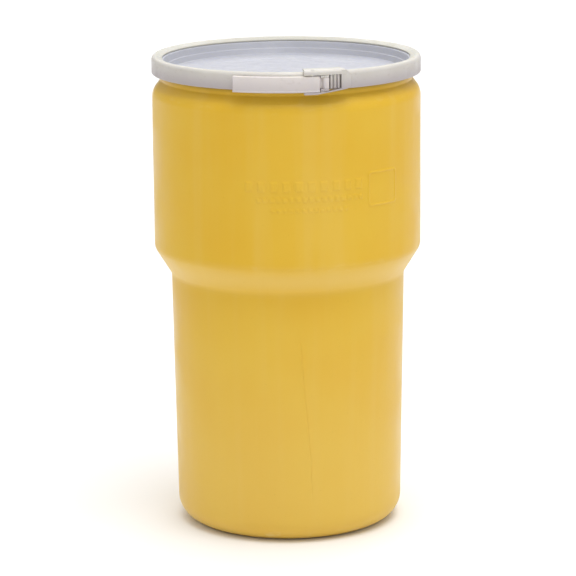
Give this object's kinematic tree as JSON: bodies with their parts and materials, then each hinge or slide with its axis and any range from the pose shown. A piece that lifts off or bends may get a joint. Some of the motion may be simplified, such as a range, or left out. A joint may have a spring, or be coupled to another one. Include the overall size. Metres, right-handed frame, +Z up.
{
  "type": "overpack salvage drum",
  "caption": "Stepped nestable open-head plastic drum with a recessed lid, a sealing gasket and a split clamping ring closed by a swinging lever, draw link and catch.",
  "frame": {"origin": "centre of the base, on the floor", "axes": "+Z up along the drum's axis, the lever and draw link face -Y, and +X is to the right when facing the latch"},
  "size_m": [0.3804, 0.3868, 0.6766],
  "materials": {
    "drum_plastic": "semi-gloss moulded polyethylene, yellow",
    "lid_plastic": "natural white polyethylene, slightly cloudy",
    "ring_plastic": "natural white polyethylene, satin",
    "seal_rubber": "matt foamed rubber",
    "pin_plastic": "hard natural plastic, satin"
  },
  "bodies": {
    "drum": {"drum_body": "drum_plastic"},
    "ring": {"ring_band": "ring_plastic", "fulcrum_pin": "pin_plastic"},
    "lid": {"lid": "lid_plastic", "lid_gasket": "seal_rubber"},
    "lever": {"lever": "ring_plastic"},
    "link": {"draw_link": "ring_plastic", "link_pin": "pin_plastic"}
  },
  "joints": [
    {"name": "ring_lift", "type": "slide", "parent": "drum", "child": "ring", "axis": [0, 0, 1], "range_m": [0, 0.24], "deforming": ["ring_band"]},
    {"name": "lid_lift", "type": "slide", "parent": "drum", "child": "lid", "axis": [0, 0, 1], "range_m": [0, 0.12]},
    {"name": "lever_swing", "type": "hinge", "parent": "ring", "child": "lever", "pos_m": [0.05366, -0.18591, 0], "axis": [0, 0, 1], "range_deg": [0, 135]},
    {"name": "link_swing", "type": "hinge", "parent": "lever", "child": "link", "pos_m": [0.03528, -0.19036, 0], "axis": [0, 0, 1], "range_deg": [-135, 0]}
  ],
  "couplings": [
    {"joint": "lid_lift", "follows": "ring_lift", "ratio": 0.5},
    {"joint": "link_swing", "follows": "lever_swing", "ratio": -1}
  ]
}
